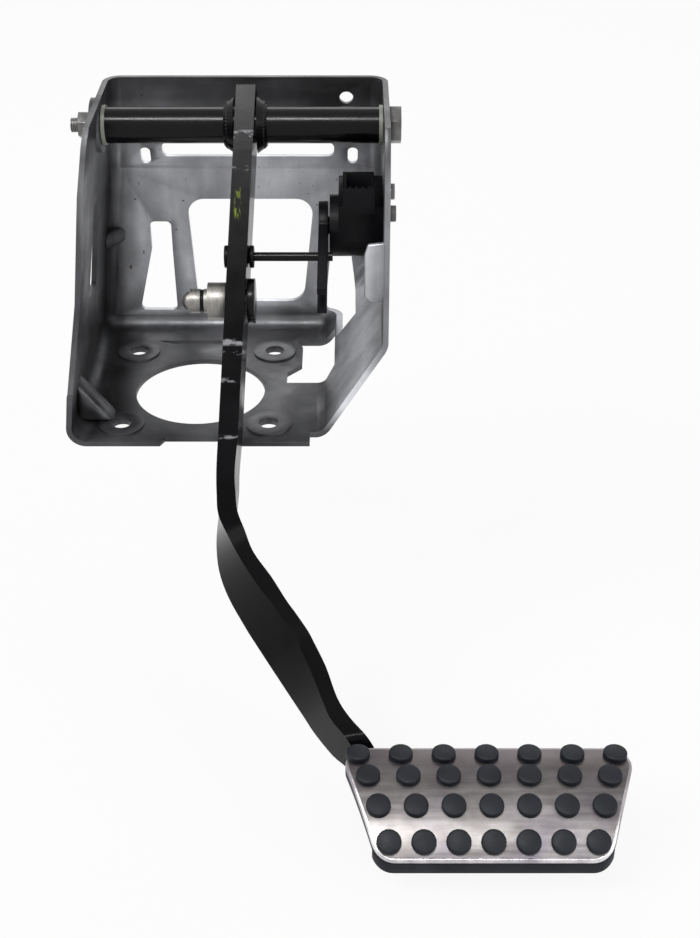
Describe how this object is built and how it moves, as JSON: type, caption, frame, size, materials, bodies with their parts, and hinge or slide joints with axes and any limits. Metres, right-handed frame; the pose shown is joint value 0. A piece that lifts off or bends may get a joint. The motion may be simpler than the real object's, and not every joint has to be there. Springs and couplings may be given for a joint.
{
  "type": "brake pedal",
  "caption": "Hanging brake pedal in a pressed steel bracket with a tube pivot, bent flat arm, pushrod pin, pedal sensor with lever and a studded steel pad.",
  "frame": {"origin": "centre of the four booster bolt holes, on the bracket's mounting face", "axes": "+Z out of the mounting face into the bracket, +Y towards the bracket's web, +X to the right as seen in the picture"},
  "size_m": [0.2448, 0.2863, 0.2499],
  "materials": {
    "pressed_steel": "dull pressed sheet",
    "zinc_steel": "zinc plated",
    "black_plastic": "moulded",
    "black_paint": "gloss black",
    "nylon": "natural nylon",
    "turned_steel": "turned",
    "pad_rubber": "moulded",
    "stainless": "brushed"
  },
  "bodies": {
    "bracket": {"bracket": "pressed_steel", "pivot_bolt": "zinc_steel", "pivot_nut": "zinc_steel", "inner_sleeve": "zinc_steel", "sensor_housing": "black_plastic", "sensor_terminals": "zinc_steel", "sensor_screws": "zinc_steel"},
    "pedal": {"pivot_tube": "black_paint", "bush_left": "nylon", "bush_right": "nylon", "weld_beads": "black_paint", "pedal_arm": "black_paint", "clevis_pin": "turned_steel", "pin_ring": "black_plastic", "rod_grommet": "black_plastic", "link_rod": "black_paint", "pad_plate": "black_paint", "pad_rubber": "pad_rubber", "pad_cover": "stainless"},
    "lever": {"sensor_lever": "black_plastic"}
  },
  "joints": [
    {"name": "pedal_hinge", "type": "hinge", "parent": "bracket", "child": "pedal", "pos_m": [0.025, 0.02, 0.1266], "axis": [1, 0, 0], "range_deg": [-18, 1.5]},
    {"name": "lever_hinge", "type": "hinge", "parent": "bracket", "child": "lever", "pos_m": [0.0596, 0.008, 0.0832], "axis": [1, 0, 0], "range_deg": [-26, 3]}
  ],
  "couplings": [
    {"joint": "lever_hinge", "follows": "pedal_hinge", "ratio": 1.4}
  ]
}
